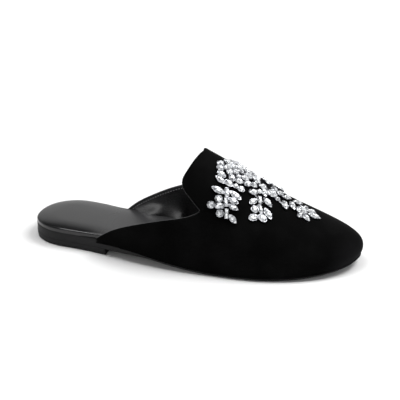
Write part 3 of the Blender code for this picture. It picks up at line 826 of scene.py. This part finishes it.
# padded insole: the top drawn in ring by ring from the rolled edge and raised to a pillow
pad = {
    "rings": (  # in from the side, up from the CAD top, in mm: the roll and then the pillow
        (0.15, -0.45),
        (0.58, 0.03),
        (1.25, 0.39),
        (1.85, 0.57),
        (3.3, 0.92),
        (4.9, 1.18),
        (6.5, 1.39),
        (8.5, 1.60),
        (11.0, 1.79),
        (14.5, 1.98),
    ),
    "level": 0.9,
    "flat": 10,
    "rollRows": 2,  # of the CAD roll, taken off with the top
    "drop": 1.0,  # of the side's upper edge under the CAD top
    "rollTop": (1.7, 0.57),
    "bluntest": 0.7,  # at a corner of the outline a ring is let in no further than this allows
    "heelSeat": -84 * mm,  # the pillow is full behind this and flattens ahead of it
    "fade": 46 * mm,
    "even": 12,  # times that a ring's heights are evened out
    "levels": 2,
}
insolePad = nodeCopy("insole", "insole_pad")
bpy.ops.object.mode_set(mode="EDIT")
bpy.ops.mesh.select_mode(type="FACE")
bpy.ops.mesh.select_all(action="DESELECT")
bm = bmesh.from_edit_mesh(insolePad.data)
levelFaces = [face for face in bm.faces if face.normal.z > pad["level"]]
max(levelFaces, key=lambda face: face.calc_area()).select_set(True)
bmesh.update_edit_mesh(insolePad.data)
bpy.ops.mesh.faces_select_linked_flat(sharpness=math.radians(pad["flat"]))
for _ in range(pad["rollRows"]):
    bpy.ops.mesh.select_more(use_face_step=False)
bpy.ops.mesh.dissolve_faces()
bm = bmesh.from_edit_mesh(insolePad.data)
padTop = next(face for face in bm.faces if face.select)
ring = list(padTop.verts)
bm.faces.remove(padTop)
outline = [vert.co.copy() for vert in ring]
count = len(outline)


def drawnIn(i, inset, rise):
    # a point of the outline moved in square to it, set on the CAD top and raised
    before = (outline[i] - outline[i - 1]).to_2d().normalized()
    after = (outline[(i + 1) % count] - outline[i]).to_2d().normalized()
    along = (before + after).normalized()
    reach = inset * mm / max(along.dot(before), pad["bluntest"])
    spot = outline[i] + Vector((-along.y, along.x, 0)) * reach
    spot.z += pad["drop"] * mm
    rollEnd, rollTop = pad["rollTop"]
    if inset > rollEnd:
        spot = straightDown(insoleTree, spot)[0]
        rise -= (rise - rollTop) * eased((spot.x - pad["heelSeat"]) / pad["fade"])
    return spot + Vector((0, 0, rise * mm))


def evened(heights):
    return [(heights[i - 1] + 2 * heights[i] + heights[(i + 1) % count]) / 4 for i in range(count)]


for inset, rise in pad["rings"]:
    spots = [drawnIn(i, inset, rise) for i in range(count)]
    heights = [spot.z for spot in spots]
    for _ in range(pad["even"] if inset > pad["rollTop"][0] else 0):
        heights = evened(heights)
    inner = [bm.verts.new((spot.x, spot.y, height)) for spot, height in zip(spots, heights)]
    for i in range(count):
        k = (i + 1) % count
        bm.faces.new((ring[i], ring[k], inner[k], inner[i]))
    ring = inner
heelTip = min(range(count), key=lambda i: ring[i].co.x)
for i in range((count + 1) // 2):  # strips across the middle, from the heel to the toe
    corners = [ring[(heelTip + k) % count] for k in (-i, i, i + 1, -i - 1)]
    bm.faces.new(list(dict.fromkeys(corners)))
bmesh.update_edit_mesh(insolePad.data)
bpy.ops.object.mode_set(mode="OBJECT")
applied(insolePad, "SUBSURF", levels=pad["levels"], render_levels=pad["levels"])
finishPiece(insolePad, [insoleMat], degrees=60)
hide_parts("insole")

# sole and heel block: smoothed outlines, edges broken as by a trimmer, the joint between them trimmed flush
edgeBreak = {
    "sharp": 32,
    "width": 0.15 * mm,
    "segments": 2,
    "cement": 0.28 * mm,  # closes the gap to what lies on it
    "flush": 0.5 * mm,  # brings the edge out under the insole's
    "fill": 0.55 * mm,  # and up behind the rounding above it
    "outlineStep": 2.2 * mm,  # edges longer than this run round the outline
    "levels": 2,
    "jointReach": 0.8 * mm,  # an edge this near to the joint isn't broken
}
facesUp = 0.5  # of a normal's height
facesOut = 0.3  # of its level part
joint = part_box("heel")[1]
wingTip = {"x": -62 * mm, "fade": 14 * mm}


def sideways(normal, reach):
    side = Vector((normal.x, normal.y, 0))
    return side.normalized() * reach if side.length > facesOut else side * 0


def soleTrim(spot, normal):
    # the top comes up to what lies on it; behind the vamp the edge comes out to the insole and the heel
    behind = min(max((wingTip["x"] + wingTip["fade"] - spot.x) / wingTip["fade"], 0.0), 1.0)
    move = sideways(normal, edgeBreak["flush"] * behind)
    move.z = edgeBreak["cement"] + edgeBreak["fill"] * behind if normal.z > facesUp else 0.0
    return move


def heelTrim(spot, normal):
    # out to the edge of the insole, and up to where the sole's own edge stops rounding
    move = sideways(normal, edgeBreak["flush"])
    move.z = edgeBreak["cement"] + edgeBreak["fill"] if normal.z > facesUp else 0.0
    return move


trims = (("outsole", "sole_edge_trimmed", soleTrim), ("heel", "heel_block", heelTrim))
for nodeName, pieceName, trim in trims:
    piece = nodeCopy(nodeName, pieceName)
    creaseSharp(piece, edgeBreak["sharp"])
    creaseAlong(piece, edgeBreak["outlineStep"])
    smoothThrough(piece, edgeBreak["levels"])
    letOut(piece, trim)
    bpy.ops.object.mode_set(mode="EDIT")
    bpy.ops.mesh.select_mode(type="EDGE")
    bpy.ops.mesh.select_all(action="DESELECT")
    bpy.ops.mesh.edges_select_sharp(sharpness=math.radians(edgeBreak["sharp"]))
    bm = bmesh.from_edit_mesh(piece.data)
    for edge in bm.edges:
        middle = (edge.verts[0].co + edge.verts[1].co) / 2
        if middle.x < joint.x + mm and abs(middle.z - joint.z) < edgeBreak["jointReach"]:
            edge.select_set(False)
    bmesh.update_edit_mesh(piece.data)
    bpy.ops.mesh.bevel(offset=edgeBreak["width"], segments=edgeBreak["segments"])
    bpy.ops.object.mode_set(mode="OBJECT")
    finishPiece(piece, [soleMat], degrees=40)
    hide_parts(nodeName)
print("insole, sole and heel made")

# crystal sprays: stones modelled once for each cut, set on the vamp row by row
cuts = {  # length, width and rise in mm, corners, squareness, claws
    "big": (8.8, 8.8, 3.4, 10, 2.0, 6),
    "round": (5.7, 5.7, 2.6, 8, 2.0, 4),
    "small": (4.2, 4.2, 2.2, 8, 2.0, 3),
    "oval": (7.0, 5.2, 2.6, 10, 2.0, 4),
    "leaf": (10.0, 4.9, 2.6, 10, 1.5, 4),
    "petal": (8.1, 4.5, 2.5, 10, 1.5, 4),
    "bar": (7.8, 3.0, 2.2, 4, 8.0, 4),
}
setting = {  # in mm, or as a share of the stone
    "lift": 0.3,
    "plate": 0.7,
    "girdle": 0.42,
    "table": 0.56,
    "facet": 0.07,
    "level": 0.1,  # the edges of girdle and table rise less than this
    "cup": 0.90,
    "rim": 1.08,
    "claw": 0.36,
    "clawRise": 0.15,
    "clawTall": 1.9,
    "wire": 0.9,
    "wireRise": 0.9,
}


def onOutline(cut, c, s):
    # where the cut's outline lies for a point of the unit circle
    length, width, _, _, power, _ = cut
    x = math.copysign(abs(c) ** (2 / power), c) * length / 2
    y = math.copysign(abs(s) ** (2 / power), s) * width / 2
    return x, y


def roundTo(mesh, cut):
    # turns a circle of radius 1 into the cut's outline
    for vertex in mesh.vertices:
        radius = math.hypot(vertex.co.x, vertex.co.y)
        if radius > 0:
            x, y = onOutline(cut, vertex.co.x / radius, vertex.co.y / radius)
            vertex.co.x = x * radius
            vertex.co.y = y * radius


def stoneModel(kind):
    cut = cuts[kind]
    length, width, rise, corners, _, claws = cut
    girdle = setting["plate"] + rise * setting["girdle"]
    top = setting["plate"] + rise
    spin = math.pi / corners if kind == "bar" else 0.0
    bpy.ops.object.select_all(action="DESELECT")
    # crown: girdle up to the table, with its slanting edges cut to narrow facets
    bpy.ops.mesh.primitive_cone_add(
        vertices=corners,
        radius1=1.0,
        radius2=setting["table"],
        depth=top - girdle,
        location=(0, 0, (top + girdle) / 2),
    )
    stone = bpy.context.object
    bpy.ops.object.transform_apply()
    stone.data.transform(Matrix.Rotation(spin + math.pi / 2, 4, "Z"))
    roundTo(stone.data, cut)
    bpy.ops.object.mode_set(mode="EDIT")
    bpy.ops.mesh.select_all(action="DESELECT")
    bm = bmesh.from_edit_mesh(stone.data)
    for edge in bm.edges:
        edge.select = abs(edge.verts[0].co.z - edge.verts[1].co.z) > setting["level"]
    bmesh.update_edit_mesh(stone.data)
    bpy.ops.mesh.bevel(offset=min(length, width) * setting["facet"], segments=1)
    bpy.ops.object.mode_set(mode="OBJECT")
    stone.data.materials.append(crystalMat)
    # cup under the girdle
    bpy.ops.mesh.primitive_cone_add(
        vertices=corners,
        radius1=setting["cup"],
        radius2=setting["rim"],
        depth=girdle - setting["lift"],
        location=(0, 0, (girdle + setting["lift"]) / 2),
    )
    cup = bpy.context.object
    bpy.ops.object.transform_apply()
    cup.data.transform(Matrix.Rotation(spin + math.pi / 2, 4, "Z"))
    roundTo(cup.data, cut)
    cup.data.materials.append(silverMat)
    parts = [stone, cup]
    # claws folded over the girdle
    for i in range(claws):
        angle = 2 * math.pi * (i + 0.5) / claws
        spot = (*onOutline(cut, math.cos(angle), math.sin(angle)), girdle + setting["clawRise"])
        bpy.ops.mesh.primitive_ico_sphere_add(subdivisions=1, radius=setting["claw"], location=spot)
        claw = bpy.context.object
        claw.scale = (1, 1, setting["clawTall"])
        bpy.ops.object.transform_apply()
        claw.data.materials.append(silverMat)
        parts.append(claw)
    joinParts(parts, "model_" + kind)
    stone.data.transform(Matrix.Scale(mm, 4))
    return stone


stoneModels = {kind: stoneModel(kind) for kind in cuts}
bpy.ops.object.select_all(action="DESELECT")
bpy.ops.mesh.primitive_cylinder_add(vertices=8, radius=setting["wire"] * mm / 2, depth=1.0)
wireModel = bpy.context.object
wireModel.data.transform(Matrix.Rotation(math.pi / 2, 4, "Y"))
wireModel.data.materials.append(silverMat)

vampTree = meshTree(frame["nodes"]["upper"].data)


def walkVamp(start, way, distance):
    steps = max(1, round(abs(distance) / mm))
    spot = start.copy()
    way = way.copy()
    for _ in range(steps):
        spot, normal, _, _ = vampTree.find_nearest(spot + way * distance / steps)
        way = (way - normal * way.dot(normal)).normalized()
    return spot, way


def sprayPlacer(root, side, heading):
    # from a spray's flat drawing in millimetres to the vamp: the spot, the way of the stem and the way up
    start, normal = straightDown(vampTree, root)
    aside = Vector((0, side, 0))
    aside = (aside - normal * aside.dot(normal)).normalized()
    forward = Vector((1, 0, 0))
    forward = (forward - normal * forward.dot(normal) - aside * forward.dot(aside)).normalized()
    angle = math.radians(heading)
    stem = aside * math.cos(angle) + forward * math.sin(angle)
    cross = forward * math.cos(angle) - aside * math.sin(angle)

    def placer(along, across):
        onStem, way = walkVamp(start, stem, along * mm)
        over = way.cross(vampTree.find_nearest(onStem)[1]).normalized()
        over *= 1 if over.dot(cross) > 0 else -1
        spot, over = walkVamp(onStem, over, across * mm)
        near = 2 * mm
        ahead = walkVamp(spot, way, near)[0] - walkVamp(spot, way, -near)[0]
        beside = walkVamp(spot, over, near)[0] - walkVamp(spot, over, -near)[0]
        up = ahead.cross(beside).normalized()
        up *= 1 if up.dot(vampTree.find_nearest(spot)[1]) > 0 else -1
        return spot, ahead.normalized(), beside.normalized(), up

    return placer


# rows: kind, along the stem, across it, turned from it, and whether the other side has its twin
throatRows = (
    ("oval", -8.8, 0.0, 0, False),
    ("round", -2.8, 0.0, 0, False),
    ("round", 2.8, 0.0, 0, False),
    ("oval", 9.4, 0.0, 0, False),
    ("oval", -12.6, -7.8, 62, False),
    ("round", -10.8, -12.9, 0, False),
    ("small", -8.0, -8.8, 0, False),
    ("round", -6.0, 4.6, 0, True),
    ("round", 0.2, 5.4, 0, True),
    ("oval", -3.2, 10.2, 90, True),
    ("oval", 0.6, 14.6, 63, True),
    ("oval", -7.2, 17.9, 3, True),
    ("petal", -5.6, 22.9, 9, True),
    ("oval", 0.9, 21.3, 6, True),
    ("small", 6.2, 19.9, 0, True),
    ("round", 10.6, 19.4, 0, True),
    ("oval", 6.2, 13.0, -38, True),
    ("small", 3.9, 8.6, 0, True),
    ("oval", 8.4, 5.4, -9, True),
)
centreRows = (
    ("oval", -17.0, 1.9, 30, False),
    ("leaf", -13.2, -4.5, -55, False),
    ("big", -8.6, 0.0, 0, False),
    ("round", -9.4, 8.2, 0, False),
    ("round", -3.8, 7.2, 0, False),
    ("small", -2.4, -2.2, 0, False),
    ("petal", 1.9, 6.9, 40, False),
    ("leaf", 4.4, -4.2, -55, False),
    ("leaf", 9.2, 0.3, -52, False),
    ("petal", 10.8, 8.6, 30, False),
    ("big", 16.9, 0.0, 0, False),
    ("leaf", 26.8, 1.4, 14, False),
    ("oval", -27.0, 7.6, -75, True),
    ("round", -23.0, 3.9, 0, True),
    ("small", 18.0, 6.6, 0, True),
    ("petal", 22.7, 5.2, 36, True),
)
rearRows = (
    ("bar", -7.6, 0.9, 0, False),
    ("bar", 0.2, 0.4, 0, False),
    ("bar", 9.0, 1.0, 0, False),
    ("leaf", -8.6, -5.5, 65, False),
    ("leaf", -5.8, 7.2, 53, False),
    ("round", -1.8, -4.9, 0, False),
    ("round", 2.9, -10.3, 0, False),
    ("oval", 3.6, -4.3, 90, False),
    ("petal", -1.1, 5.6, 62, False),
    ("petal", 4.0, 5.5, 61, False),
    ("round", 8.9, -3.6, 0, False),
    ("petal", 12.8, 5.5, 40, False),
)
frontRows = (
    ("oval", -11.4, -4.5, 100, False),
    ("small", -13.6, 0.9, 0, False),
    ("bar", -4.7, -0.1, -7, False),
    ("petal", -2.2, -5.6, 129, False),
    ("leaf", -3.4, 5.9, 26, False),
    ("round", 4.8, -5.0, 0, False),
    ("bar", 4.1, -0.7, 8, False),
    ("leaf", 7.6, 4.6, 20, False),
    ("oval", 11.6, -6.5, 112, False),
    ("oval", 11.8, 0.2, 42, False),
)
sprays = {  # rows, side, the spot above the root in millimetres, heading from sideways to the toe
    "crystal_throat": (throatRows, -1, (30.46, 8.84), 90),
    "crystal_centre": (centreRows, -1, (65.74, 3.99), 85),
    "crystal_rear_lateral": (rearRows, -1, (31.47, -25.44), 28),
    "crystal_rear_medial": (rearRows, 1, (31.47, 36.20), 28),
    "crystal_front_lateral": (frontRows, -1, (54.40, -13.52), 30),
    "crystal_front_medial": (frontRows, 1, (54.40, 30.59), 30),
}


def nearestLinks(stones):
    # each stone is wired to the nearest one that is already on the spray
    joined = [0]
    links = []
    while len(joined) < len(stones):
        options = [(i, k) for i in joined for k in range(len(stones)) if k not in joined]
        pick = min(options, key=lambda pair: (stones[pair[0]][1] - stones[pair[1]][1]).length)
        joined.append(pick[1])
        links.append(pick)
    return links


for nodeName, (rows, side, root, heading) in sprays.items():
    placer = sprayPlacer(Vector(root) * mm, side, heading)
    stones = []
    for kind, along, across, angle, twin in rows:
        for hand in (1, -1) if twin else (1,):
            spot, ahead, beside, up = placer(along, across * hand)
            bend = math.radians(angle * hand)
            forward = ahead * math.cos(bend) + beside * math.sin(bend)
            stones.append((stoneModels[kind], spot, axesMatrix(spot, forward, up)))
    models = [stone[0] for stone in stones]
    matrices = [stone[2] for stone in stones]
    wireSpot = Vector((0, 0, setting["wireRise"] * mm))
    for i, k in nearestLinks(stones):
        one = stones[i][2] @ wireSpot
        two = stones[k][2] @ wireSpot
        span = two - one
        up = (stones[i][2].to_3x3() @ Vector((0, 0, 1))).normalized()
        models.append(wireModel)
        stretch = Matrix.Scale(span.length, 4, Vector((1, 0, 0)))
        matrices.append(axesMatrix((one + two) / 2, span.normalized(), up) @ stretch)
    spray = gather(nodeName + "_stones", models, matrices)
    only(spray)
    bpy.ops.object.shade_flat()
    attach(spray, "root")
    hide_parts(nodeName)
    print(nodeName, len(stones), "stones,", len(spray.data.polygons), "faces")
for model in list(stoneModels.values()) + [wireModel]:
    bpy.data.objects.remove(model)

# plain pale floor and soft studio light
floorLook = {"light": "#ebebeb", "shade": "#e7e7e7", "patch": 0.4, "size": 8.0}
bpy.ops.object.select_all(action="DESELECT")
bpy.ops.mesh.primitive_plane_add(size=floorLook["size"], location=(0, 0, 0))
floor = bpy.context.object
floor.name = "floor"
floorMat, tree, shader, place = startMaterial("white_paper", Roughness=0.9, Specular_IOR_Level=0.1)
paper = addNode(
    tree, "ShaderNodeTexNoise", {"Vector": place, "Scale": 1 / floorLook["patch"], "Detail": 1.0}
)
paperTone = rampStops(
    addNode(tree, "ShaderNodeValToRGB", {"Fac": paper.outputs["Fac"]}),
    [(0.35, floorLook["shade"]), (0.70, floorLook["light"])],
)
tree.links.new(paperTone.outputs["Color"], shader.inputs["Base Color"])
floor.data.materials.append(floorMat)

# white round the horizon, dark overhead, dimmer towards the heel
studio = {"low": "#ffffff", "high": "#484848", "rim": (0.50, 0.62), "dim": 0.45, "dimRun": (-0.8, -0.2)}
world = bpy.data.worlds.new("studio")
scene.world = world
world.use_nodes = True
tree = world.node_tree
aim = addNode(tree, "ShaderNodeTexCoord").outputs["Generated"]
heightOf = addNode(tree, "ShaderNodeSeparateXYZ", {"Vector": aim}).outputs["Z"]
dome = rampStops(
    addNode(tree, "ShaderNodeValToRGB", {"Fac": heightOf}),
    [
        (0.0, studio["low"]),
        (studio["rim"][0], studio["low"]),
        (studio["rim"][1], studio["high"]),
        (1.0, studio["high"]),
    ],
)
towardsToe = addNode(tree, "ShaderNodeSeparateXYZ", {"Vector": aim}).outputs["X"]
fromRight = addNode(
    tree,
    "ShaderNodeMapRange",
    {
        "Value": towardsToe,
        "From Min": studio["dimRun"][0],
        "From Max": studio["dimRun"][1],
        "To Min": studio["dim"],
        "To Max": 1.0,
    },
)
sky = addNode(
    tree,
    "ShaderNodeVectorMath",
    {0: dome.outputs["Color"], "Scale": fromRight.outputs["Result"]},
    operation="SCALE",
)
tree.links.new(sky.outputs["Vector"], tree.nodes["Background"].inputs["Color"])
tree.nodes["Background"].inputs["Strength"].default_value = 1.0

# the third lamp lights only the paper behind the shoe
lamps = {  # place, spot that it points at, width, length, power, spread in degrees
    "top_box": ((-0.30, -0.05, 1.25), (0, 0, 0), 0.55, 0.8, 9.5, 180),
    "right_box": ((0.66, 0.35, 1.18), (0, 0, 0), 0.8, 0.8, 17.0, 180),
    "paper_box": ((-0.35, 1.15, 0.90), (-0.35, 1.15, 0), 0.5, 0.5, 3.0, 80),
}
for lampName, (spot, goal, width, length, power, spread) in lamps.items():
    bpy.ops.object.light_add(type="AREA", location=spot)
    lamp = bpy.context.object
    lamp.name = lampName
    lamp.data.shape = "RECTANGLE"
    lamp.data.size = width
    lamp.data.size_y = length
    lamp.data.energy = power
    lamp.data.spread = math.radians(spread)
    lamp.rotation_mode = "QUATERNION"
    lamp.rotation_quaternion = (Vector(goal) - Vector(spot)).to_track_quat("-Z", "Y")
scene.view_settings.view_transform = "Standard"
scene.view_settings.look = "None"
print("floor and light set")
